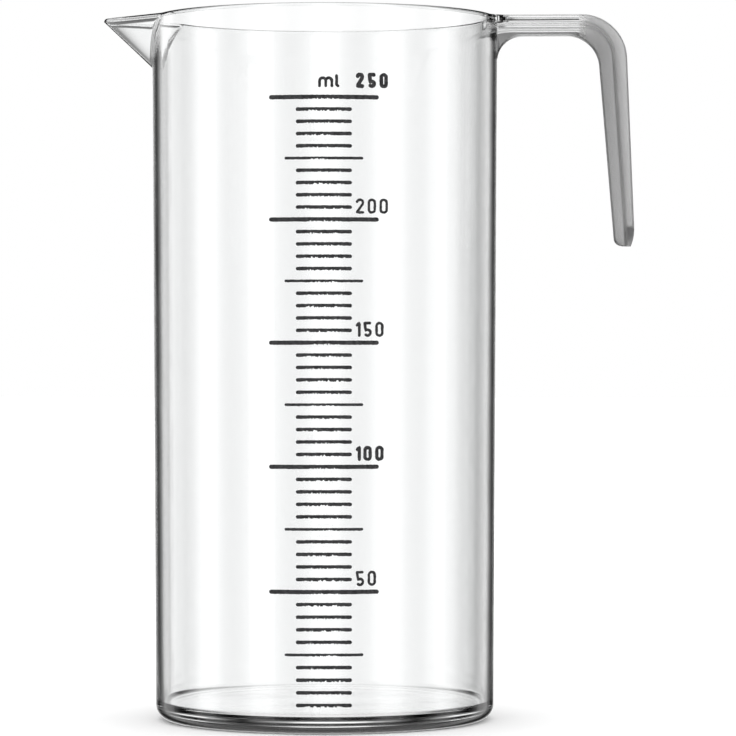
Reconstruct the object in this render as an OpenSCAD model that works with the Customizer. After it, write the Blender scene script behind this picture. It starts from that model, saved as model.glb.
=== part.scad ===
// A clear plastic measuring cylinder with a pouring spout, an open handle and a raised, inked scale.
// Sizes are in millimetres. The origin is on the cup's axis at the underside of its foot.
// +Z is up, the handle is on +X and the spout on -X.

/* [Cup] */
// Volume up to the top line of the scale, in millilitres
capacity = 250; // [100:50:250]
// Height from the table to the top of the rim
cup_h = 120; // [90:1:160]
// Distance from the top of the rim down to the top line
head_room = 15.5; // [12:0.1:30]
// Thickness of the cup's wall
wall = 1.2; // [0.9:0.05:2]
// Thickness of the floor
floor_t = 2.8; // [2:0.05:5]
// Growth of each radius for a millimetre of height, so that the cup leaves its mould
draft = 0.0055; // [0.002:0.0005:0.01]
// Radius of the rounded outside edge of the foot
foot_round = 2.6; // [1:0.1:4]
// Radius of the fillet between the floor and the inside of the wall
floor_fillet = 0.8; // [0.3:0.1:2]

/* [Spout] */
// Reach of the nose from the outside of the rim
spout_reach = 8.6; // [6:0.1:12]
// Half of the angle that the spout takes from the rim, in degrees
spout_half_angle = 24.1; // [16:0.1:30]
// Depth of the keel's foot below the top of the rim
spout_depth = 9.5; // [6:0.5:14]
// Height of the blunt front edge of the nose
nose_h = 0.6; // [0.5:0.1:3]
// Radius of the nose, seen from above
nose_r = 1; // [0.5:0.1:1.5]
// Thickness of the spout's two sides
spout_wall = 1.1; // [0.8:0.05:1.6]

/* [Handle] */
// Distance from the top of the rim down to the top of the handle
handle_drop = 0.2; // [0.1:0.1:2]
// Reach from the outside of the rim to the grip's outer face, at the level of the handle's top
handle_reach = 21.8; // [18:0.1:30]
// Height of the handle, from its top to the grip's lower end
handle_h = 39.2; // [30:0.2:60]
// Width of the flange from side to side
flange_w = 12.5; // [9:0.1:16]
// Thickness of the flange along the arm
arm_flange_t = 1.45; // [1:0.05:2.5]
// Thickness of the flange at the top of the grip
grip_flange_t = 2.4; // [1.8:0.1:3]
// Thickness of the central rib
rib_t = 2; // [1.2:0.1:3]
// Depth of the rib below the arm's flange
arm_rib_depth = 1.8; // [1:0.1:4]
// Depth of the rib behind the grip's flange
grip_rib_depth = 2.75; // [1:0.05:4]
// Outside radius of the bend between the arm and the grip
bend_r = 7.75; // [6.5:0.25:9]
// Inside radius of the same bend
inner_bend_r = 5.5; // [3:0.25:6]
// Lean of the grip's outer face from the vertical, in degrees
outer_lean = 2.4; // [0:0.1:5]
// Lean of the flange's inner face, in degrees
flange_lean = 3.9; // [0:0.1:4.6]
// Lean of the rib's inner edge, in degrees
rib_lean = 4.8; // [0:0.1:6]
// Length of the rounded end of the grip
grip_end_h = 3.2; // [1.5:0.1:5]
// Distance from the grip's end up to the rib's end
rib_end_gap = 0.2; // [0.1:0.1:5]
// Radius of the rounded end of the rib
rib_end_r = 1.2; // [0.5:0.1:2]
// Radius of the fillets where the arm leaves the cup
root_fillet = 4.2; // [2:0.1:5]

/* [Scale] */
// Angle from the middle of the side to the middle of the scale, towards the handle, in degrees
scale_turn = 4.2; // [-20:0.1:20]
// Length of a line for each fifty millilitres
major_len = 18; // [14:0.1:24]
// Length of a line halfway between two of them
half_len = 12.9; // [11:0.1:16]
// Length of each other line
minor_len = 9.2; // [7:0.1:12]
// Height of the long lines
major_t = 0.7; // [0.4:0.05:1]
// Height of the lines halfway between them
half_t = 0.45; // [0.3:0.05:0.9]
// Height of the short lines
minor_t = 0.6; // [0.3:0.05:0.9]
// Distance that a mark stands out from the wall
raise = 0.25; // [0.1:0.05:0.5]
// Height of the digits
digit_h = 2.5; // [2:0.1:4]
// Width of the digits
digit_w = 1.4; // [1.2:0.1:2]
// Space between two digits
digit_gap = 0.55; // [0.3:0.05:1]
// Thickness of a digit's strokes
stroke = 0.41; // [0.3:0.01:0.5]
// Space between the end of the short lines and the first digit
number_clearance = 0.6; // [0.4:0.1:2]
// Space between a long line and the number above it
number_gap = 0.6; // [0.3:0.1:1.5]
// Space between the top line and the number above it
top_number_gap = 1.15; // [0.3:0.05:2]
// Space between the unit and the top number
unit_gap = 2.7; // [1:0.1:4]

/* [Hidden] */
$fn = 96;
mm3_per_ml = 1000;
line_step = 5;
half_step = 25;
major_step = 50;
cut = 1;          // how far a cutting shape runs past what it cuts
large = 200;      // longer than any side of the whole object
hull_fn = 32;
arc_steps = 8;

// Height of the liquid at the top line, and the floor's radius that gives the capacity at that height
scale_h = cup_h - head_room - floor_t;
mean_area = capacity * mm3_per_ml / (PI * scale_h);
floor_r = sqrt(mean_area - pow(draft * scale_h, 2) / 12) - draft * scale_h / 2;
foot_r = floor_r - draft * floor_t + wall;
rim_r = outer_r(cup_h);

// Slant of the wall in degrees, and its length for one step up
slant = atan(draft);
slope = sqrt(1 + draft * draft);

// Centres of the three arcs of the cup's profile, each one tangent to the wall
foot_centre = [outer_r(foot_round) - foot_round * slope, foot_round];
rim_arc_r = wall / 2 / slope;
rim_centre = [outer_r(cup_h - rim_arc_r) - wall / 2, cup_h - rim_arc_r];
fillet_centre = [inner_r(floor_t + floor_fillet) - floor_fillet * slope, floor_t + floor_fillet];

// Three corners of one side of the spout, and the plane of that side's inner face
mouth = [-rim_r * cos(spout_half_angle), rim_r * sin(spout_half_angle), cup_h];
nose = [-rim_r - spout_reach, 0, cup_h];
keel_foot = [-outer_r(cup_h - spout_depth), 0, cup_h - spout_depth];
side_cross = cross(keel_foot - mouth, nose - mouth);
side_normal = side_cross / norm(side_cross);
side_offset = side_normal * mouth - spout_wall;
hollow_x = -inner_r(cup_h) + 2 * spout_wall;

// Levels and places along the handle
handle_top = cup_h - handle_drop;
handle_low = handle_top - handle_h;
face_x = rim_r + handle_reach;
bend_x = face_x + tan(outer_lean) * bend_r - bend_r / cos(outer_lean);
rib_bottom = handle_top - arm_flange_t - arm_rib_depth;
rib_x = face_x - grip_flange_t - grip_rib_depth;
grip_end_r = (pow(flange_w / 2, 2) + pow(grip_end_h, 2)) / (2 * grip_end_h);

number_x = minor_len / 2 + number_clearance;
narrow_digit_w = digit_w / 2;

majors = [major_step:major_step:capacity];
halves = [half_step:major_step:capacity];
groups = [0:half_step:capacity - half_step];

function outer_r(z) = foot_r + draft * z;
function inner_r(z) = outer_r(z) - wall;
function level(ml) = floor_t
    + (pow(3 * draft * ml * mm3_per_ml / PI + pow(floor_r, 3), 1 / 3) - floor_r) / draft;
function arc_points(centre, r, first, last) = [
    for (i = [0:arc_steps])
        let (a = first + (last - first) * i / arc_steps)
        centre + r * [cos(a), sin(a)]
];
function group_name(v) = str("minor_lines_", v + line_step, "_to_", v + half_step - line_step);

// ---- Cup ----

// Everything inside the cup's outer surface, up to the crest of the rim
module cup_block_profile() {
    polygon([
        [0, 0],
        each arc_points(foot_centre, foot_round, -90, -slant),
        each arc_points(rim_centre, rim_arc_r, -slant, 90),
        [0, cup_h]
    ]);
}

module cup_profile() {
    polygon([
        [0, 0],
        each arc_points(foot_centre, foot_round, -90, -slant),
        each arc_points(rim_centre, rim_arc_r, -slant, 90),
        each arc_points(rim_centre, rim_arc_r, 90, 180 - slant),
        each arc_points(fillet_centre, floor_fillet, -slant, -90),
        [0, floor_t]
    ]);
}

// The part of the cup between two levels
module cup_between(low, high) {
    rotate_extrude() intersection() {
        cup_profile();
        translate([0, low]) square([rim_r + cut, high - low]);
    }
}

module cylinder_wall() {
    color("white", 0.35) difference() {
        cup_between(floor_t, cup_h + cut);
        spout_hollow();
    }
}

module base() {
    color("white", 0.35) cup_between(0, floor_t);
}

// ---- Spout ----

// The channel inside the spout, which opens through the wall into the cup
module spout_hollow() {
    at_top = side_offset - side_normal.z * (cup_h + cut);
    tip_x = at_top / side_normal.x;
    side_y = (at_top - side_normal.x * hollow_x) / side_normal.y;
    keel_z = (side_offset - side_normal.x * hollow_x) / side_normal.z;
    polyhedron(
        points = [
            [tip_x, 0, cup_h + cut], [hollow_x, side_y, cup_h + cut],
            [hollow_x, -side_y, cup_h + cut], [hollow_x, 0, keel_z]
        ],
        faces = [[0, 1, 2], [0, 3, 1], [0, 2, 3], [1, 3, 2]]
    );
}

module spout_block() {
    hull() {
        translate([nose.x + nose_r, 0, cup_h - nose_h])
            cylinder(r = nose_r, h = nose_h, $fn = hull_fn);
        for (side = [-1, 1])
            rotate([0, 0, side * spout_half_angle])
                translate([-rim_r + wall / 2, 0, cup_h - nose_h])
                    cylinder(d = wall, h = nose_h, $fn = hull_fn);
        translate(keel_foot + [wall / 2, 0, 0]) sphere(d = wall, $fn = hull_fn);
    }
}

module pouring_spout() {
    color("white", 0.35) difference() {
        spout_block();
        rotate_extrude() cup_block_profile();
        spout_hollow();
    }
}

// ---- Handle ----

// The area below a level and behind a leaning face, with a rounded corner between the two
module hook_area(top, x_at_top, lean, r, start, low) {
    centre = [x_at_top + tan(lean) * (handle_top - top + r) - r / cos(lean), top - r];
    polygon([
        [start, low], [start, top], [centre.x, top], centre,
        centre + r * [cos(lean), sin(lean)], [x_at_top + tan(lean) * (handle_top - low), low]
    ]);
    translate(centre) circle(r);
}

module outer_hook() {
    hook_area(handle_top, face_x, outer_lean, bend_r, 0, handle_low);
}

module flange_profile() {
    difference() {
        outer_hook();
        hook_area(handle_top - arm_flange_t, face_x - grip_flange_t, flange_lean, inner_bend_r,
                  -cut, handle_low - cut);
    }
}

module rib_profile() {
    round_z = handle_low + rib_end_gap + rib_end_r;
    round_x = rib_x + tan(rib_lean) * (handle_top - round_z) + rib_end_r;
    intersection() {
        difference() {
            outer_hook();
            hook_area(rib_bottom, rib_x, rib_lean, inner_bend_r, -cut, handle_low - cut);
        }
        union() {
            translate([0, round_z]) square([large, handle_h]);
            translate([round_x, round_z - rib_end_r]) square([large, rib_end_r]);
            translate([round_x, round_z]) circle(rib_end_r);
        }
    }
}

// Turns a profile in the plane of X and Z into a plate of a given width across Y
module across(width) {
    rotate([90, 0, 0]) linear_extrude(width, center = true) children();
}

// Rounds the grip's lower end, as seen along X
module end_outline() {
    rotate([90, 0, 90]) linear_extrude(large) {
        translate([-flange_w, handle_low + grip_end_h]) square([2 * flange_w, handle_h]);
        translate([0, handle_low + grip_end_r]) circle(grip_end_r);
    }
}

// Flares the flange sideways where it meets the cup
module root_flare() {
    y = flange_w / 2 + root_fillet;
    x = sqrt(pow(rim_r + root_fillet, 2) - y * y);
    shrink = rim_r / (rim_r + root_fillet);
    translate([0, 0, handle_top - arm_flange_t]) linear_extrude(arm_flange_t)
        for (side = [0, 1]) mirror([0, side]) difference() {
            polygon([[0, 0], [x, 0], [x, y], [x, y] * shrink]);
            translate([x, y]) circle(root_fillet);
        }
}

// Thickens the rib downwards where it meets the cup
module root_gusset() {
    centre = [outer_r(rib_bottom) + root_fillet, rib_bottom - root_fillet];
    across(rib_t) difference() {
        polygon([[0, handle_top - arm_flange_t], [0, centre.y], centre, [centre.x, handle_top - arm_flange_t]]);
        translate(centre) circle(root_fillet);
    }
}

module handle_body() {
    intersection() {
        across(flange_w) flange_profile();
        end_outline();
    }
    across(rib_t) rib_profile();
}

module handle_arm() {
    color("white", 0.35) difference() {
        union() {
            handle_body();
            root_flare();
            root_gusset();
        }
        translate([bend_x, -large / 2, 0]) cube(large);
        rotate_extrude() cup_block_profile();
    }
}

module handle_grip() {
    color("lightgray") intersection() {
        handle_body();
        translate([bend_x, -large / 2, 0]) cube(large);
    }
}

// ---- Scale ----

// Stands a flat shape out from the wall, at the place of the scale
module raised_mark() {
    color([0.13, 0.13, 0.14]) intersection() {
        difference() {
            cylinder(h = cup_h, r1 = foot_r + raise, r2 = rim_r + raise);
            cylinder(h = cup_h, r1 = foot_r, r2 = rim_r);
        }
        rotate([90, 0, scale_turn]) linear_extrude(large) children();
    }
}

module line_shape(ml, length, height) {
    translate([0, level(ml)]) {
        square([length - height, height], center = true);
        for (side = [-1, 1]) translate([side * (length - height) / 2, 0]) circle(d = height);
    }
}

module major_line(ml) {
    raised_mark() line_shape(ml, major_len, major_t);
}

module half_line(ml) {
    raised_mark() line_shape(ml, half_len, half_t);
}

module minor_lines(start) {
    for (step = [1:half_step / line_step - 1])
        raised_mark() line_shape(start + step * line_step, minor_len, minor_t);
}

// A straight stroke with round ends
module bar(from, to) {
    along = to - from;
    translate(from) rotate(atan2(along.y, along.x))
        translate([0, -stroke / 2]) square([norm(along), stroke]);
    for (end = [from, to]) translate(end) circle(d = stroke);
}

// A curved stroke of up to half a turn, anticlockwise from one angle to the other
module arc(centre, r, first, last) {
    reach = 2 * (r + stroke);
    middle = (first + last) / 2;
    translate(centre) {
        intersection() {
            difference() {
                circle(r + stroke / 2);
                circle(r - stroke / 2);
            }
            polygon([[0, 0], for (a = [first, middle, last]) reach * [cos(a), sin(a)]]);
        }
        for (a = [first, last]) translate(r * [cos(a), sin(a)]) circle(d = stroke);
    }
}

module zero(w, h) {
    r = w / 2;
    for (side = [-1, 1]) bar([r + side * r, r], [r + side * r, h - r]);
    arc([r, h - r], r, 0, 180);
    arc([r, r], r, 180, 360);
}

module one(w, h) {
    bar([w, 0], [w, h]);
    bar([0, h - w], [w, h]);
}

module two(w, h) {
    r = w / 2;
    turn = 30;
    arc([r, h - r], r, 45, 165);
    arc([r, h - r], r, -turn, 45);
    bar([r + r * cos(turn), h - r - r * sin(turn)], [0, 0]);
    bar([0, 0], [w, 0]);
}

module five(w, h) {
    r = w / 2;
    turn = 130;
    arc([r, r], r, 0, turn);
    arc([r, r], r, -turn, 0);
    bar([r + r * cos(turn), r + r * sin(turn)], [0, h]);
    bar([0, h], [w * 0.9, h]);
}

// Draws one digit by the middle of its strokes, from its lower left corner
module digit(value) {
    h = digit_h - stroke;
    w = digit_w - stroke;
    translate([stroke / 2, stroke / 2]) {
        if (value == 0) zero(w, h);
        if (value == 1) one(narrow_digit_w - stroke, h);
        if (value == 2) two(w, h);
        if (value == 5) five(w, h);
    }
}

module number(ml) {
    digits = [for (power = [2:-1:0]) if (ml >= pow(10, power)) floor(ml / pow(10, power)) % 10];
    first_w = digits[0] == 1 ? narrow_digit_w : digit_w;
    gap = ml == capacity ? top_number_gap : number_gap;
    raised_mark() translate([number_x, level(ml) + major_t / 2 + gap])
        for (i = [0:len(digits) - 1])
            translate([i == 0 ? 0 : first_w + digit_gap + (i - 1) * (digit_w + digit_gap), 0])
                digit(digits[i]);
}

// The letters m and l
module unit_mark() {
    arch_r = digit_w * 0.36;
    stem_h = digit_h * 0.32;
    m_w = 4 * arch_r;
    l_h = digit_h * 0.64;
    l_x = m_w + digit_w * 0.55;
    foot = digit_w * 0.15;
    total_w = l_x + foot + stroke;
    raised_mark() translate([number_x - unit_gap - total_w + stroke / 2,
                             level(capacity) + major_t / 2 + top_number_gap + stroke / 2]) {
        for (i = [0:2]) bar([i * 2 * arch_r, 0], [i * 2 * arch_r, stem_h]);
        for (i = [0:1]) arc([(2 * i + 1) * arch_r, stem_h], arch_r, 0, 180);
        bar([l_x, l_h], [l_x, foot]);
        bar([l_x, foot], [l_x + foot, 0]);
    }
}

cylinder_wall();
base();
pouring_spout();
handle_arm();
handle_grip();
unit_mark();
for (v = majors) major_line(v);
for (v = halves) half_line(v);
for (v = groups) minor_lines(v);
for (v = majors) number(v);
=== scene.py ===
"""Clear plastic measuring cylinder with a pouring spout, an open handle and a raised, inked scale."""
import math

import bmesh
import bpy
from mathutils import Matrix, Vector, noise


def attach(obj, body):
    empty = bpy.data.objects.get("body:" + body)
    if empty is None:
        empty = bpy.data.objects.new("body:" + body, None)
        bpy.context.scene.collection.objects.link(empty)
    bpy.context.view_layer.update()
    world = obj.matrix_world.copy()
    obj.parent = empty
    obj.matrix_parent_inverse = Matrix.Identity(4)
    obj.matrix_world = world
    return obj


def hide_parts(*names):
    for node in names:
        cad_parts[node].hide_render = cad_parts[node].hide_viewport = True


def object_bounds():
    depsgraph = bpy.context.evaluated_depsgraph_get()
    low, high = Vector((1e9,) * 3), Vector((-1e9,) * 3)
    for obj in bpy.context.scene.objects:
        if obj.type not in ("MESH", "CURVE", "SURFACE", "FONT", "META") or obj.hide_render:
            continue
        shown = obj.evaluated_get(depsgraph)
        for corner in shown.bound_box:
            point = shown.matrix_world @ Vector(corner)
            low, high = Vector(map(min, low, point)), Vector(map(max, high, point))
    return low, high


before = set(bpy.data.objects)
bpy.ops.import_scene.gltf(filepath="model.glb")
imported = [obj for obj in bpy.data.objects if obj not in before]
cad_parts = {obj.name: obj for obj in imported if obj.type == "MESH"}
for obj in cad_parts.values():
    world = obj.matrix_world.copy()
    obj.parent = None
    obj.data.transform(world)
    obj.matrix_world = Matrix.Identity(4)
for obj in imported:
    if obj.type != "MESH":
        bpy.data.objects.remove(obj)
cad_low, cad_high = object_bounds()

MM = 0.001

# Sizes in millimetres, the same as in the CAD source
CAPACITY = 250
CUP_H = 120.0
HEAD_ROOM = 15.5
WALL = 1.2
FLOOR_T = 2.8
DRAFT = 0.0055
FOOT_ROUND = 2.6
FLOOR_FILLET = 0.8
SPOUT_REACH = 8.6
SPOUT_HALF_ANGLE = math.radians(24.1)
SPOUT_DEPTH = 9.5
NOSE_H = 0.6
SPOUT_WALL = 1.1
HANDLE_DROP = 0.2
HANDLE_REACH = 21.8
HANDLE_H = 39.2
FLANGE_W = 12.5
ARM_FLANGE_T = 1.45
GRIP_FLANGE_T = 2.4
RIB_T = 2.0
ARM_RIB_DEPTH = 1.8
GRIP_RIB_DEPTH = 2.75
BEND_R = 7.75
INNER_BEND_R = 5.5
OUTER_LEAN = math.radians(2.4)
FLANGE_LEAN = math.radians(3.9)
RIB_LEAN = math.radians(4.8)
GRIP_END_H = 3.2
RIB_END_GAP = 0.2
RIB_END_R = 1.2
ROOT_FILLET = 4.2
SCALE_TURN = math.radians(4.2)
MAJOR_LEN = 18.0
HALF_LEN = 12.9
MINOR_LEN = 9.2
MAJOR_T = 0.7
HALF_T = 0.45
MINOR_T = 0.6
RAISE = 0.25
DIGIT_H = 2.5
DIGIT_W = 1.4
DIGIT_GAP = 0.55
STROKE = 0.41
NUMBER_CLEARANCE = 0.6
NUMBER_GAP = 0.6
TOP_NUMBER_GAP = 1.15
UNIT_GAP = 2.7

SCALE_H = CUP_H - HEAD_ROOM - FLOOR_T
MEAN_AREA = CAPACITY * 1000 / (math.pi * SCALE_H)
FLOOR_R = math.sqrt(MEAN_AREA - (DRAFT * SCALE_H) ** 2 / 12) - DRAFT * SCALE_H / 2
FOOT_R = FLOOR_R - DRAFT * FLOOR_T + WALL
SLOPE = math.sqrt(1 + DRAFT * DRAFT)

# The frosting of the handle starts this far out, already on the rib's bend
FROST_SET_BACK = 7.8
FROST_FADE = 2.0
FROST_START = FOOT_R + DRAFT * CUP_H + HANDLE_REACH - FROST_SET_BACK


def outer_r(z):
    return FOOT_R + DRAFT * z


def inner_r(z):
    return outer_r(z) - WALL


def level(ml):
    return FLOOR_T + ((3 * DRAFT * ml * 1000 / math.pi + FLOOR_R ** 3) ** (1 / 3) - FLOOR_R) / DRAFT


def spread(first, last, count):
    """count + 1 evenly spaced values."""
    return [first + (last - first) * i / count for i in range(count + 1)]


def new_object(name, points, faces, materials, smooth=True):
    mesh = bpy.data.meshes.new(name)
    mesh.from_pydata([Vector(p) * MM for p in points], [], faces)
    mesh.validate()
    for material in materials:
        mesh.materials.append(material)
    mesh.polygons.foreach_set("use_smooth", [smooth] * len(mesh.polygons))
    obj = bpy.data.objects.new(name, mesh)
    bpy.context.scene.collection.objects.link(obj)
    return obj


# ---- Materials ----

PLASTIC_IOR = 1.57


def new_material(name):
    material = bpy.data.materials.new(name)
    material.use_nodes = True
    tree = material.node_tree
    return material, tree.nodes, tree.links, tree.nodes["Principled BSDF"]


def object_coordinates(nodes):
    return nodes.new("ShaderNodeTexCoord").outputs["Object"]


def noise_node(nodes, links, coordinates, scale, detail):
    node = nodes.new("ShaderNodeTexNoise")
    node.inputs["Scale"].default_value = scale
    node.inputs["Detail"].default_value = detail
    links.new(coordinates, node.inputs["Vector"])
    return node.outputs["Fac"]


def ranged(nodes, links, value, low, high, start=0.0, end=1.0):
    node = nodes.new("ShaderNodeMapRange")
    node.inputs["From Min"].default_value = start
    node.inputs["From Max"].default_value = end
    node.inputs["To Min"].default_value = low
    node.inputs["To Max"].default_value = high
    links.new(value, node.inputs["Value"])
    return node.outputs["Result"]


def set_stops(ramp, places):
    """Sets a grey ramp's stops from (position, brightness) pairs."""
    stops = ramp.color_ramp.elements
    while len(stops) < len(places):
        stops.new(0.5)
    for stop, (place, light) in zip(stops, places):
        stop.position = place
        stop.color = (light, light, light, 1)


def bumped(nodes, links, shader, height, distance, strength):
    node = nodes.new("ShaderNodeBump")
    node.inputs["Distance"].default_value = distance
    node.inputs["Strength"].default_value = strength
    links.new(height, node.inputs["Height"])
    links.new(node.outputs["Normal"], shader.inputs["Normal"])


def clear_plastic():
    material, nodes, links, shader = new_material("clear_plastic")
    shader.inputs["Base Color"].default_value = (0.985, 0.99, 0.99, 1)
    shader.inputs["Transmission Weight"].default_value = 1
    shader.inputs["IOR"].default_value = PLASTIC_IOR
    coordinates = object_coordinates(nodes)
    smudges = noise_node(nodes, links, coordinates, 60, 4)
    links.new(ranged(nodes, links, smudges, 0.01, 0.05, 0.45, 0.75), shader.inputs["Roughness"])
    # Faint ripple of the moulded surface
    ripple = noise_node(nodes, links, coordinates, 90, 2)
    bumped(nodes, links, shader, ripple, 0.00006, 0.35)
    return material


def frosted_plastic():
    material, nodes, links, shader = new_material("frosted_plastic")
    shader.inputs["Base Color"].default_value = (0.9, 0.9, 0.9, 1)
    shader.inputs["Transmission Weight"].default_value = 1
    shader.inputs["IOR"].default_value = PLASTIC_IOR
    coordinates = object_coordinates(nodes)
    grain = noise_node(nodes, links, coordinates, 5200, 2)
    place = nodes.new("ShaderNodeSeparateXYZ")
    links.new(coordinates, place.inputs[0])
    fade_end = (FROST_START + FROST_FADE) * MM
    fade = ranged(nodes, links, place.outputs["X"], 0.3, 1.0, FROST_START * MM, fade_end)
    finish = nodes.new("ShaderNodeMath")
    finish.operation = "MULTIPLY"
    links.new(ranged(nodes, links, grain, 0.32, 0.5, 0.3, 0.7), finish.inputs[0])
    links.new(fade, finish.inputs[1])
    links.new(finish.outputs[0], shader.inputs["Roughness"])
    bumped(nodes, links, shader, grain, 0.00006, 0.5)
    return material


def black_ink():
    material, nodes, links, shader = new_material("black_ink")
    coordinates = object_coordinates(nodes)
    speckle = noise_node(nodes, links, coordinates, 2200, 4)
    ramp = nodes.new("ShaderNodeValToRGB")
    ramp.color_ramp.elements[0].position = 0.35
    ramp.color_ramp.elements[0].color = (0.012, 0.012, 0.014, 1)
    ramp.color_ramp.elements[1].position = 0.75
    ramp.color_ramp.elements[1].color = (0.05, 0.05, 0.053, 1)
    links.new(speckle, ramp.inputs["Fac"])
    links.new(ramp.outputs["Color"], shader.inputs["Base Color"])
    links.new(ranged(nodes, links, speckle, 0.45, 0.7), shader.inputs["Roughness"])
    bumped(nodes, links, shader, speckle, 0.00008, 0.5)
    return material


def inner_seam():
    """Lets light through unchanged, where two pieces of the one moulding meet inside the plastic."""
    material, nodes, links, shader = new_material("inner_seam")
    clear = nodes.new("ShaderNodeBsdfTransparent")
    links.new(clear.outputs["BSDF"], nodes["Material Output"].inputs["Surface"])
    nodes.remove(shader)
    return material


CLEAR = clear_plastic()
FROSTED = frosted_plastic()
INK = black_ink()
SEAM = inner_seam()

# ---- Cup ----

RIM_R = outer_r(CUP_H)
RIM_ARC = WALL / 2 / SLOPE
CREST_Z = CUP_H - RIM_ARC

# One side of the spout is a plane, leaning from the mouth's corner to the nose and the keel
BAND_Z = CUP_H - NOSE_H
OUTER_SOFT = 1.15
INNER_SOFT = 0.15
OUTER_BLEND = 0.12
INNER_BLEND = 0.08
FLAT_RINGS = (6.0, 14.0, 22.0)
DENSE_Z = 107.0   # rings stand closer together above this level, where the spout is
PLAIN_ROWS = 12
DENSE_ROWS = 34
ROUND_ROWS = 12
FILLET_ROWS = 6
mouth = Vector((-RIM_R * math.cos(SPOUT_HALF_ANGLE), RIM_R * math.sin(SPOUT_HALF_ANGLE), BAND_Z))
nose_tip = Vector((-RIM_R - SPOUT_REACH, 0, BAND_Z))
half_point = math.atan2(mouth.y, mouth.x - nose_tip.x)
nose_apex = nose_tip - Vector((OUTER_SOFT / math.tan(half_point), 0, 0))
keel_foot = Vector((-outer_r(CUP_H - SPOUT_DEPTH), 0, CUP_H - SPOUT_DEPTH))
side_normal = (keel_foot - mouth).cross(nose_apex - mouth).normalized()
if side_normal.x > 0:
    side_normal.negate()
side_offset = side_normal.dot(mouth)


def soft_max(a, b, k):
    return (a + b + math.sqrt((a - b) ** 2 + k * k)) / 2


def with_spout(radius, z, theta, inset, soft, blend):
    """The cup's radius at an angle from the middle of the spout, with the spout's side planes let in."""
    if abs(theta) > 2 * SPOUT_HALF_ANGLE:
        return radius
    y_part = math.sqrt(math.sin(theta) ** 2 + (soft / -nose_tip.x) ** 2)
    along = -side_normal.x * math.cos(theta) + side_normal.y * y_part
    plane = (side_offset - inset - side_normal.z * min(z, BAND_Z)) / along
    return soft_max(radius, plane, blend)


def cup_rows():
    """(kind, value, value) of each ring of the cup's profile, from the middle of the underside."""
    rows = [("flat", r, 0.0) for r in FLAT_RINGS]
    centre = outer_r(FOOT_ROUND) - FOOT_ROUND * SLOPE
    rows += [("flat", centre + FOOT_ROUND * math.cos(a), FOOT_ROUND + FOOT_ROUND * math.sin(a))
             for a in spread(-math.pi / 2, -math.atan(DRAFT), ROUND_ROWS)]
    rows += [("outer", z, 0.0) for z in spread(FOOT_ROUND, DENSE_Z, PLAIN_ROWS)[1:]]
    rows += [("outer", z, 0.0) for z in spread(DENSE_Z, CREST_Z, DENSE_ROWS)[1:]]
    rows += [("crest", a, 0.0) for a in spread(0, math.pi, ROUND_ROWS)[1:-1]]
    rows += [("inner", z, 0.0) for z in spread(CREST_Z, DENSE_Z, DENSE_ROWS)]
    fillet_z = FLOOR_T + FLOOR_FILLET
    rows += [("inner", z, 0.0) for z in spread(DENSE_Z, fillet_z, PLAIN_ROWS)[1:]]
    fillet_x = inner_r(fillet_z) - FLOOR_FILLET
    rows += [("flat", fillet_x + FLOOR_FILLET * math.cos(a), fillet_z + FLOOR_FILLET * math.sin(a))
             for a in spread(0, -math.pi / 2, FILLET_ROWS)[1:]]
    rows += [("flat", r, FLOOR_T) for r in reversed(FLAT_RINGS)]
    return rows


def cup_point(row, theta):
    kind, a, b = row
    if kind == "flat":
        radius, z = a, b
    elif kind == "outer":
        radius, z = with_spout(outer_r(a), a, theta, 0, OUTER_SOFT, OUTER_BLEND), a
    elif kind == "inner":
        radius, z = with_spout(inner_r(a), a, theta, SPOUT_WALL, INNER_SOFT, INNER_BLEND), a
    else:
        outside = with_spout(outer_r(CREST_Z), CREST_Z, theta, 0, OUTER_SOFT, OUTER_BLEND)
        inside = with_spout(inner_r(CREST_Z), CREST_Z, theta, SPOUT_WALL, INNER_SOFT, INNER_BLEND)
        radius = (outside + inside) / 2 + (outside - inside) / 2 * math.cos(a)
        z = CREST_Z + RIM_ARC * math.sin(a)
    return (-radius * math.cos(theta), radius * math.sin(theta), z)


# Up to each angle from the middle of the spout, the step to the next one, in degrees
ANGLE_STEPS = ((4, 0.15), (30, 0.4), (180, 1.2))
LAST_GAP = 0.6


def cup_angles():
    """Angles from the middle of the spout, closer together near it."""
    half = [0.0]
    while half[-1] < 180 - LAST_GAP:
        here = half[-1]
        half.append(here + next(step for limit, step in ANGLE_STEPS if here < limit))
    half[-1] = 180.0
    return [math.radians(-a) for a in reversed(half[1:-1])] + [math.radians(a) for a in half]


def make_cup():
    rows, angles = cup_rows(), cup_angles()
    count = len(angles)
    points = [cup_point(row, theta) for row in rows for theta in angles]
    faces = []
    for i in range(len(rows) - 1):
        for j in range(count):
            k = (j + 1) % count
            faces.append((i * count + j, (i + 1) * count + j, (i + 1) * count + k, i * count + k))
    points += [(0, 0, 0), (0, 0, FLOOR_T)]
    under, over = len(points) - 2, len(points) - 1
    last = (len(rows) - 1) * count
    for j in range(count):
        k = (j + 1) % count
        faces.append((under, j, k))
        faces.append((over, last + k, last + j))
    return new_object("cup_moulding", points, faces, [CLEAR])


# ---- Handle ----

HANDLE_TOP = CUP_H - HANDLE_DROP
HANDLE_LOW = HANDLE_TOP - HANDLE_H
FACE_X = RIM_R + HANDLE_REACH
EDGE_R = 0.4
CORNER_STEPS = 4
END_SET_BACK = 0.8   # how far the outer face rounds back at the grip's end
FLAT_STEPS = 6
FLARE_STEPS = 16
ARM_STEPS = 20
BEND_STEPS = 32
GRIP_STEPS = 24
END_ZONE = 4.0       # rings stand closer together this near the grip's end
LEAST = 0.05         # smallest thickness or margin that a ring keeps


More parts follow.
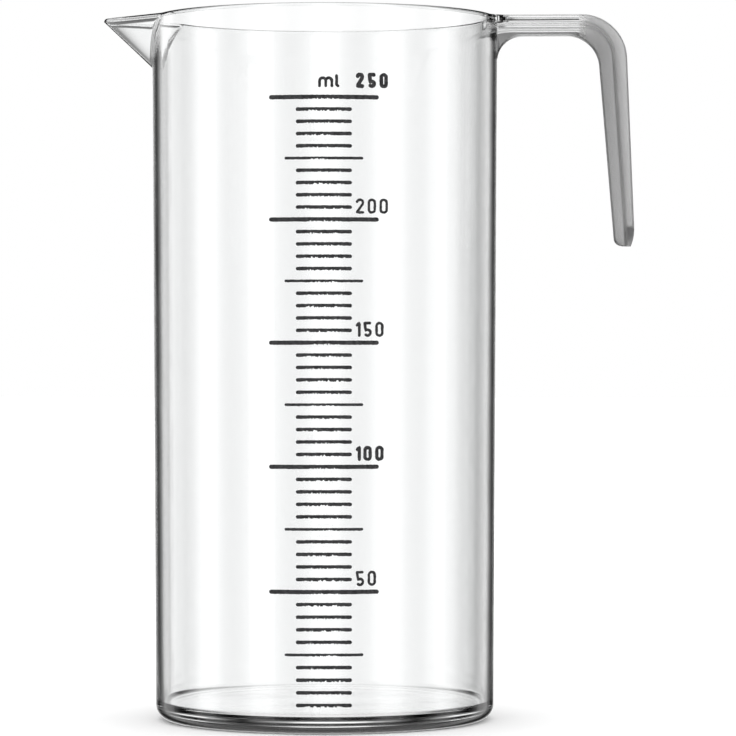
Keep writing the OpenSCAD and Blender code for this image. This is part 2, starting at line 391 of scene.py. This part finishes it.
def hook(top, x_at_top, lean, r):
    """Centre, radius and lean of one face's bend, and a function that gives the face's x at a level."""
    centre = (x_at_top + math.tan(lean) * (HANDLE_TOP - top + r) - r / math.cos(lean), top - r)
    return centre, r, lean, lambda z: x_at_top + math.tan(lean) * (HANDLE_TOP - z)


OUTER_HOOK = hook(HANDLE_TOP, FACE_X, OUTER_LEAN, BEND_R)
FLANGE_HOOK = hook(HANDLE_TOP - ARM_FLANGE_T, FACE_X - GRIP_FLANGE_T, FLANGE_LEAN, INNER_BEND_R)
RIB_HOOK = hook(HANDLE_TOP - ARM_FLANGE_T - ARM_RIB_DEPTH, FACE_X - GRIP_FLANGE_T - GRIP_RIB_DEPTH,
                RIB_LEAN, INNER_BEND_R)
SEAM_X = FROST_START
RIB_SEAM_ANGLE = math.acos((SEAM_X - RIB_HOOK[0][0]) / INNER_BEND_R)


def rib_z(x):
    """Level of the rib's lower edge along the arm and the start of its bend."""
    (centre_x, centre_z), r = RIB_HOOK[:2]
    return centre_z + math.sqrt(r * r - max(x - centre_x, 0) ** 2)


def bend_point(face, u):
    centre, r, lean, _ = face
    first = RIB_SEAM_ANGLE if face is RIB_HOOK else math.pi / 2
    a = first - u * (first - lean)
    return Vector((centre[0] + r * math.cos(a), centre[1] + r * math.sin(a)))


def grip_point(face, u):
    start = bend_point(face, 1)
    z = start.y + (HANDLE_LOW - start.y) * u
    return Vector((face[3](z), z))


def section(half_w, thick, rib, rib_half):
    """(y, depth) points around the T of the handle, from the middle of its outer face."""
    edge = min(EDGE_R, thick * 0.45)
    foot = min(EDGE_R, rib * 0.45)
    neck = rib_half + foot
    flat_end = max(half_w - edge, neck + 0.01)
    top = [(y, 0.0) for y in spread(neck, flat_end, FLAT_STEPS)[:-1]]
    top += [(flat_end + edge * math.cos(a), edge + edge * math.sin(a))
            for a in spread(-math.pi / 2, 0, CORNER_STEPS)]
    half = top + [(y, thick - d) for y, d in reversed(top)]
    for y, depth, first, last in ((neck, thick + foot, -math.pi / 2, -math.pi),
                                  (rib_half - foot, thick + rib - foot, 0, math.pi / 2)):
        arc_points = [(y + foot * math.cos(a), depth + foot * math.sin(a))
                      for a in spread(first, last, CORNER_STEPS)]
        half += arc_points[1:] if depth == thick + foot else arc_points
    return [(0.0, 0.0)] + half + [(0.0, thick + rib)] + [(-y, d) for y, d in reversed(half)]


def end_faces(first, size):
    """Faces across the T at a ring, in strips that follow the curve of the ring."""
    top = FLAT_STEPS + CORNER_STEPS + 1
    half = size // 2 - 1
    faces = []
    for i in range(1, top):
        quad = (i, i + 1, 2 * top - i, 2 * top + 1 - i)
        faces += [quad, tuple((size - k) % size for k in quad)]
    faces.append((0, 1, 2 * top, size - 2 * top, size - 1))
    faces += [(i, i + 1, size - i - 1, size - i) for i in range(2 * top, half - 1)]
    faces.append(tuple(range(half - 1, half + 4)))
    return [tuple(first + k for k in face) for face in faces]


def ring(outer, flange, rib, half_w, rib_half, shift=lambda y: 0.0):
    """One ring of the handle between its three faces' points at a station."""
    thick = (flange - outer).length
    depth = max((rib - flange).length, LEAST)
    points = []
    for y, d in section(half_w, thick, depth, rib_half):
        if d <= thick:
            at = outer.lerp(flange, d / thick)
        else:
            at = flange.lerp(rib, (d - thick) / depth)
        points.append((at.x + shift(y), y, at.y))
    return points


def gusset_drop(into):
    """How far the fillet under the arm reaches down, at a depth into it."""
    return ROOT_FILLET - math.sqrt(ROOT_FILLET ** 2 - into ** 2)


def arm_rings():
    """Rings from inside the wall to the bend, with a fillet against the wall all round."""
    half = FLANGE_W / 2
    flare_y = half + ROOT_FILLET
    flare_x = math.sqrt((RIM_R + ROOT_FILLET) ** 2 - flare_y ** 2)
    touch = Vector((flare_x, flare_y)) * (RIM_R / (RIM_R + ROOT_FILLET))
    rib_bottom = HANDLE_TOP - ARM_FLANGE_T - ARM_RIB_DEPTH
    gusset_x = outer_r(rib_bottom) + ROOT_FILLET
    middle = RIM_R - WALL / 2
    rings = []

    def add(edge_x, half_w, centre_x):
        reach = math.hypot(edge_x, half_w)
        curve = (centre_x - edge_x) / (reach - edge_x)
        gusset = gusset_drop(min(max(gusset_x - centre_x, 0), ROOT_FILLET * 0.995))
        levels = (HANDLE_TOP, HANDLE_TOP - ARM_FLANGE_T, rib_bottom - gusset)

        def shift(y):
            return curve * (math.sqrt(reach ** 2 - y * y) - reach)

        rings.append(ring(*[Vector((centre_x, z)) for z in levels], half_w, RIB_T / 2, shift))

    for r in (middle, (middle + RIM_R) / 2):
        inside = touch * (r / RIM_R)
        add(inside.x, inside.y, r)
    last_angle = math.atan2(flare_y - touch.y, flare_x - touch.x)
    for i, a in enumerate(spread(last_angle, math.pi / 2, FLARE_STEPS)):
        add(flare_x - ROOT_FILLET * math.cos(a), flare_y - ROOT_FILLET * math.sin(a),
            RIM_R + (flare_x - RIM_R) * i / FLARE_STEPS)
    for x in spread(flare_x, SEAM_X, ARM_STEPS)[1:]:
        gusset = gusset_drop(min(max(gusset_x - x, 0), ROOT_FILLET))
        levels = (HANDLE_TOP, HANDLE_TOP - ARM_FLANGE_T, rib_z(x) - gusset)
        rings.append(ring(*[Vector((x, z)) for z in levels], half, RIB_T / 2))
    return rings


def grip_rings():
    """Rings from the end of the arm round the bend and down to the rounded end of the grip."""
    faces = (OUTER_HOOK, FLANGE_HOOK, RIB_HOOK)
    half = FLANGE_W / 2
    levels = (HANDLE_TOP, HANDLE_TOP - ARM_FLANGE_T, rib_z(SEAM_X))
    rings = [ring(*[Vector((SEAM_X, z)) for z in levels], half, RIB_T / 2)]
    rings += [ring(*[bend_point(face, u) for face in faces], half, RIB_T / 2)
              for u in spread(0, 1, BEND_STEPS)[1:]]
    end_r = (half ** 2 + GRIP_END_H ** 2) / (2 * GRIP_END_H)
    tip_half = RIB_T / 2 + EDGE_R + LEAST
    tip = end_r - math.sqrt(end_r ** 2 - tip_half ** 2)
    round_z = HANDLE_LOW + RIB_END_GAP + RIB_END_R
    first = bend_point(OUTER_HOOK, 1).y
    heights = spread(first, HANDLE_LOW + END_ZONE, GRIP_STEPS)[1:]
    heights += [HANDLE_LOW + END_ZONE + (tip - END_ZONE) * math.sin(a)
                for a in spread(0, math.pi / 2, GRIP_STEPS)[1:]]
    for z in heights:
        above = z - HANDLE_LOW
        half_w = half if above >= GRIP_END_H else math.sqrt(end_r ** 2 - (end_r - above) ** 2)
        u = (first - z) / (first - HANDLE_LOW)
        outer, flange, rib = [grip_point(face, u) for face in faces]
        drop = min(max(round_z - rib.y, 0), RIB_END_R)
        rib.x = min(rib.x + RIB_END_R - math.sqrt(RIB_END_R ** 2 - drop ** 2), flange.x - LEAST)
        outer.x -= END_SET_BACK * max(0, 1 - above / GRIP_END_H) ** 2
        rings.append(ring(outer, flange, rib, half_w, min(RIB_T / 2, half_w * 0.6)))
    return rings


def tube(name, rings, materials):
    """A closed skin over the rings."""
    count = len(rings[0])
    points = [p for r in rings for p in r]
    faces = []
    for i in range(len(rings) - 1):
        low, high = i * count, (i + 1) * count
        faces += [(low + j, low + (j + 1) % count, high + (j + 1) % count, high + j) for j in range(count)]
    faces += end_faces(0, count) + end_faces((len(rings) - 1) * count, count)
    return new_object(name, points, faces, materials)


def outward(obj):
    """Turns every face of a closed mesh outwards."""
    work = bmesh.new()
    work.from_mesh(obj.data)
    bmesh.ops.recalc_face_normals(work, faces=work.faces)
    work.to_mesh(obj.data)
    work.free()


def smooth_by_angle(obj, degrees):
    obj.data.set_sharp_from_angle(angle=math.radians(degrees))


def unite(obj, other):
    """Makes the other object part of this one's mesh, and removes it."""
    union = obj.modifiers.new("union", "BOOLEAN")
    union.operation = "UNION"
    union.solver = "EXACT"
    union.object = other
    bpy.context.view_layer.update()
    graph = bpy.context.evaluated_depsgraph_get()
    joined = bpy.data.meshes.new_from_object(obj.evaluated_get(graph))
    obj.modifiers.clear()
    obj.data = joined
    bpy.data.objects.remove(other)


cup = make_cup()
outward(cup)
arm = tube("arm_blank", arm_rings(), [CLEAR])
outward(arm)
unite(cup, arm)
cup.data.materials.clear()
cup.data.materials.append(CLEAR)
cup.data.materials.append(SEAM)
grip = tube("grip_moulding", grip_rings(), [FROSTED, SEAM])
outward(grip)

# The two pieces are one moulding, so the faces between them inside the plastic don't bend light
for obj in (cup, grip):
    for face in obj.data.polygons:
        if all(abs(obj.data.vertices[i].co.x - SEAM_X * MM) < 1e-6 for i in face.vertices):
            face.material_index = 1
    smooth_by_angle(obj, 32)
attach(cup, "root")
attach(grip, "root")
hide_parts("cylinder_wall", "base", "pouring_spout", "handle_arm")
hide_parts("handle_grip")

# ---- Scale ----

SUNK = 0.05   # the marks start this deep in the wall
NICK = 0.6    # size of the bites in a line's lower edge, as a share of its height
RAGGED = 0.035
SECTION = ((-1.0, -SUNK), (-1.0, 0.45), (-0.72, 0.86), (0.0, 1.0), (0.72, 0.86), (1.0, 0.45), (1.0, -SUNK))


def on_wall(u, z, rise):
    """A point of the scale's drawing, stood on the outside of the wall."""
    r = outer_r(z) + rise
    x, y = u, -math.sqrt(r * r - u * u)
    return (x * math.cos(SCALE_TURN) - y * math.sin(SCALE_TURN),
            x * math.sin(SCALE_TURN) + y * math.cos(SCALE_TURN), z)


def rough(u, z, seed, size):
    coarse = noise.noise(Vector((u * 2.3, z * 2.3, seed)))
    fine = noise.noise(Vector((u * 6.1, z * 6.1, seed + 7)))
    return (coarse + 0.6 * fine) * size


def stroke(path, width, seed, ragged, closed=False, nicked=0.0):
    """Points and faces of one inked stroke along a path in the flat drawing.

    The lower edge of a nicked stroke is bitten in its middle part, of that half length."""
    rings = []
    count = len(path)
    stations = []
    for i, p in enumerate(path):
        before = path[(i - 1) % count] if closed or i else p
        after = path[(i + 1) % count] if closed or i < count - 1 else p
        stations.append((p, (after - before).normalized(), 1.0))
    if not closed:
        caps = [(math.cos(a), math.sin(a)) for a in spread(0, math.pi / 2 * 0.93, 4)[1:]]
        start, end = stations[0], stations[-1]
        head = [(start[0] - start[1] * width / 2 * s, start[1], c) for c, s in caps]
        tail = [(end[0] + end[1] * width / 2 * s, end[1], c) for c, s in caps]
        stations = list(reversed(head)) + stations + tail
    for p, along, size in stations:
        across = Vector((-along.y, along.x))
        points = []
        for side, high in SECTION:
            q = p + across * (side * width / 2 * size)
            wobble = rough(q.x, q.y, seed + side, ragged) * abs(side)
            drip = max(0.0, rough(q.x, q.y, seed + 31, ragged * 1.6)) if across.y * side < -0.5 else 0.0
            bite = 0.0
            if abs(q.x) < nicked and across.y * side < -0.5:
                bite = width * NICK * min(1, 3 * (1 - abs(q.x) / nicked)) * max(
                    0.0, noise.noise(Vector((q.x * 4.3, seed * 3.1, 5))) + 0.15)
            q = q + across * wobble * side + Vector((0, bite - drip))
            thin = 1 + 0.25 * noise.noise(Vector((p.x * 1.4, p.y * 1.4, seed)))
            rise = high if high < 0 else min(high * RAISE * thin * (0.55 + 0.45 * size), RAISE)
            points.append(on_wall(q.x, q.y, rise))
        rings.append(points)
    ring_size = len(SECTION)
    points = [p for r in rings for p in r]
    faces = []
    total = len(rings)
    for i in range(total if closed else total - 1):
        n = (i + 1) % total
        for j in range(ring_size):
            k = (j + 1) % ring_size
            faces.append((i * ring_size + j, n * ring_size + j, n * ring_size + k, i * ring_size + k))
    if not closed:
        faces.append(tuple(range(ring_size)))
        faces.append(tuple((total - 1) * ring_size + j for j in reversed(range(ring_size))))
    return points, faces


def mark(name, strokes):
    """One inked mark of the scale, from the values of each of its strokes."""
    points, faces = [], []
    for values in strokes:
        more_points, more_faces = stroke(*values)
        faces += [tuple(i + len(points) for i in face) for face in more_faces]
        points += more_points
    obj = new_object(name + "_ink", points, faces, [INK])
    outward(obj)
    smooth_by_angle(obj, 50)
    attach(obj, "root")
    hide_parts(name)


def line_path(ml, length, height):
    half = (length - height) / 2
    count = int(2 * half / 0.1)
    return [Vector((u, level(ml))) for u in spread(-half, half, count)]


def polyline(corners, step=0.09):
    path = [Vector(corners[0])]
    for a, b in zip(corners, corners[1:]):
        a, b = Vector(a), Vector(b)
        count = max(1, int((b - a).length / step))
        path += [a.lerp(b, i / count) for i in range(1, count + 1)]
    return path


def arc(cx, cy, r, first, last, count=14):
    angles = [math.radians(a) for a in spread(first, last, count)]
    return [(cx + r * math.cos(a), cy + r * math.sin(a)) for a in angles]


def digit_path(value, w, h):
    """Corners of a digit's middle line, and whether the line closes on itself."""
    r = w / 2
    if value == 0:
        return arc(r, h - r, r, 0, 180) + arc(r, r, r, 180, 360), True
    if value == 1:
        w = w / 2 - 0.1
        return [(0, h - w), (w, h), (w, 0)], False
    if value == 2:
        return arc(r, h - r, r, 165, -30) + [(0, 0), (w, 0)], False
    return [(w * 0.9, h), (0, h)] + arc(r, r, r, 130, -130, 22), False


def number_strokes(ml, weight):
    digits = [int(c) for c in str(ml)]
    gap = TOP_NUMBER_GAP if ml == CAPACITY else NUMBER_GAP
    x = MINOR_LEN / 2 + NUMBER_CLEARANCE + weight / 2
    z = level(ml) + MAJOR_T / 2 + gap + weight / 2
    strokes = []
    for i, value in enumerate(digits):
        corners, closed = digit_path(value, DIGIT_W - weight, DIGIT_H - weight)
        path = polyline([(x + cx, z + cz) for cx, cz in (corners + corners[:1] if closed else corners)])
        if closed:
            path = path[:-1]
        strokes.append((path, weight, ml + i, 0.05, closed))
        x += (DIGIT_W / 2 if value == 1 else DIGIT_W) + DIGIT_GAP
    return strokes


# The letters of the unit, as shares of a digit's width or height
ARCH_SHARE = 0.36
STEM_SHARE = 0.32
TALL_SHARE = 0.66
LETTER_GAP_SHARE = 0.55
LETTER_FOOT_SHARE = 0.15
UNIT_LIFT = 0.1


def unit_strokes(weight):
    """The letters m and l."""
    arch, stem = DIGIT_W * ARCH_SHARE, DIGIT_H * STEM_SHARE
    tall = DIGIT_H * TALL_SHARE
    l_x = 4 * arch + DIGIT_W * LETTER_GAP_SHARE
    foot = DIGIT_W * LETTER_FOOT_SHARE
    x = MINOR_LEN / 2 + NUMBER_CLEARANCE - UNIT_GAP - (l_x + foot + STROKE) + STROKE / 2
    z = level(CAPACITY) + MAJOR_T / 2 + TOP_NUMBER_GAP + UNIT_LIFT + STROKE / 2
    parts = [
        [(0, 0), (0, stem)] + arc(arch, stem, arch, 180, 0) + [(2 * arch, 0)],
        [(2 * arch, stem)] + arc(3 * arch, stem, arch, 180, 0) + [(4 * arch, 0)],
        [(l_x, tall), (l_x, foot), (l_x + foot, 0)],
    ]
    return [(polyline([(x + cx, z + cz) for cx, cz in part]), weight, i, 0.04, False)
            for i, part in enumerate(parts)]


# How thickly each number and the unit are inked
NUMBER_STROKE = {250: 0.62, 100: 0.55, 150: 0.46, 200: 0.42, 50: 0.44}
UNIT_STROKE = 0.48
# Half length of the bitten middle of each kind of line, as a share of the line
MAJOR_NICKED = 0.16
HALF_NICKED = 0.2
MINOR_NICKED = 0.42
MINOR_UNEVEN = 0.05   # how much the short lines differ in height


def line_stroke(ml, length, height, width, nicked_share):
    return line_path(ml, length, height), width, ml, RAGGED, False, length * nicked_share


for ml in range(50, CAPACITY + 1, 50):
    mark(f"major_line_{ml}", [line_stroke(ml, MAJOR_LEN, MAJOR_T, MAJOR_T, MAJOR_NICKED)])
    mark(f"number_{ml}", number_strokes(ml, NUMBER_STROKE[ml]))
for ml in range(25, CAPACITY, 50):
    mark(f"half_line_{ml}", [line_stroke(ml, HALF_LEN, HALF_T, HALF_T, HALF_NICKED)])
for start in range(0, CAPACITY, 25):
    mark(f"minor_lines_{start + 5}_to_{start + 20}",
         [line_stroke(ml, MINOR_LEN, MINOR_T, MINOR_T + MINOR_UNEVEN * noise.noise(Vector((ml, 0, 3))),
                      MINOR_NICKED) for ml in range(start + 5, start + 25, 5)])
mark("unit_mark", unit_strokes(UNIT_STROKE))

# ---- Floor, light and camera ----

FLOOR_HALF = 4000.0
FLOOR_GAP = 0.05


def white_floor():
    material = new_material("floor")[0]
    shader = material.node_tree.nodes["Principled BSDF"]
    shader.inputs["Base Color"].default_value = (0.93, 0.93, 0.93, 1)
    shader.inputs["Roughness"].default_value = 0.9
    shader.inputs["Specular IOR Level"].default_value = 0.0
    corners = [(x * FLOOR_HALF, y * FLOOR_HALF, -FLOOR_GAP) for x, y in ((-1, -1), (1, -1), (1, 1), (-1, 1))]
    floor = new_object("floor", corners, [(0, 1, 2, 3)], [material], smooth=False)
    # The clear plastic shows the world through it, not the floor
    floor.visible_transmission = False
    floor.visible_glossy = False


white_floor()

# Light around the object. Each pair is a place, from 0 to 1, and the brightness there.
PANEL_SPACING = math.radians(45)
PANEL_TURN = math.radians(6.0)
PANEL_STRENGTH = 1.1
EVEN_LIGHT = 0.9
DIFFUSE_LIGHT = 1.5
CAMERA_LIGHT = 1.0
# From the middle of a panel to the middle of the gap next to it
PANEL_LIGHT = ((0.0, 1.0), (0.24, 1.0), (0.36, 0.84), (0.46, 0.48), (0.62, 0.28), (0.8, 0.1), (1.0, 0.01))
# From level to straight up
ROOM_LIGHT = ((0.0, 1.0), (0.1, 1.0), (0.2, 0.12), (0.6, 0.05), (0.75, 0.7), (1.0, 1.0))


def studio_world():
    """White to the camera. Around the object stand bright panels, with darker gaps between them."""
    world = bpy.data.worlds.new("studio")
    bpy.context.scene.world = world
    world.use_nodes = True
    nodes, links = world.node_tree.nodes, world.node_tree.links
    nodes.clear()

    def math_node(operation, a, b=None):
        node = nodes.new("ShaderNodeMath")
        node.operation = operation
        for socket, value in zip(node.inputs, (a, b)):
            if isinstance(value, (int, float)):
                socket.default_value = value
            elif value is not None:
                links.new(value, socket)
        return node.outputs[0]

    split = nodes.new("ShaderNodeSeparateXYZ")
    links.new(nodes.new("ShaderNodeTexCoord").outputs["Generated"], split.inputs[0])
    azimuth = math_node("ARCTAN2", split.outputs["X"], split.outputs["Y"])
    # 0 at the middle of a panel and 1 at the middle of a gap
    offset = math_node("PINGPONG", math_node("ADD", azimuth, PANEL_TURN), PANEL_SPACING / 2)
    ramp = nodes.new("ShaderNodeValToRGB")
    links.new(math_node("DIVIDE", offset, PANEL_SPACING / 2), ramp.inputs["Fac"])
    set_stops(ramp, PANEL_LIGHT)
    # Overhead and below the light is even
    slant = math_node("ABSOLUTE", split.outputs["Z"])
    panel_light = nodes.new("ShaderNodeMix")
    panel_light.data_type = "FLOAT"
    links.new(ranged(nodes, links, slant, 0, 1, 0.5, 0.85), panel_light.inputs[0])
    links.new(math_node("MULTIPLY", ramp.outputs["Color"], PANEL_STRENGTH), panel_light.inputs[2])
    panel_light.inputs[3].default_value = EVEN_LIGHT
    # Above the panels the room is dark, up to the ceiling light
    above = nodes.new("ShaderNodeValToRGB")
    links.new(split.outputs["Z"], above.inputs["Fac"])
    set_stops(above, ROOM_LIGHT)
    room_light = math_node("MULTIPLY", panel_light.outputs[0], above.outputs["Color"])
    path = nodes.new("ShaderNodeLightPath")
    for_diffuse = nodes.new("ShaderNodeMix")
    for_diffuse.data_type = "FLOAT"
    links.new(path.outputs["Is Diffuse Ray"], for_diffuse.inputs[0])
    links.new(room_light, for_diffuse.inputs[2])
    for_diffuse.inputs[3].default_value = DIFFUSE_LIGHT
    for_camera = nodes.new("ShaderNodeMix")
    for_camera.data_type = "FLOAT"
    links.new(path.outputs["Is Camera Ray"], for_camera.inputs[0])
    links.new(for_diffuse.outputs[0], for_camera.inputs[2])
    for_camera.inputs[3].default_value = CAMERA_LIGHT
    background = nodes.new("ShaderNodeBackground")
    background.inputs["Color"].default_value = (1, 1, 1, 1)
    links.new(for_camera.outputs[0], background.inputs["Strength"])
    output = nodes.new("ShaderNodeOutputWorld")
    links.new(background.outputs[0], output.inputs["Surface"])


studio_world()

scene = bpy.context.scene
scene.view_settings.view_transform = "Standard"

CAMERA_AZIMUTH = math.radians(4.5)
CAMERA_DISTANCE = 648.0
CAMERA_HEIGHT = 63.7
camera_data = bpy.data.cameras.new("camera")
camera_data.lens = 185
camera_data.sensor_width = 36
camera_data.clip_start = 0.01
camera_data.clip_end = 100
camera = bpy.data.objects.new("camera", camera_data)
scene.collection.objects.link(camera)
camera.location = Vector((CAMERA_DISTANCE * math.sin(CAMERA_AZIMUTH),
                          -CAMERA_DISTANCE * math.cos(CAMERA_AZIMUTH),
                          CAMERA_HEIGHT)) * MM
target = (Vector(cad_low) + Vector(cad_high)) / 2
camera.rotation_euler = (target - camera.location).to_track_quat("-Z", "Y").to_euler()
scene.camera = camera
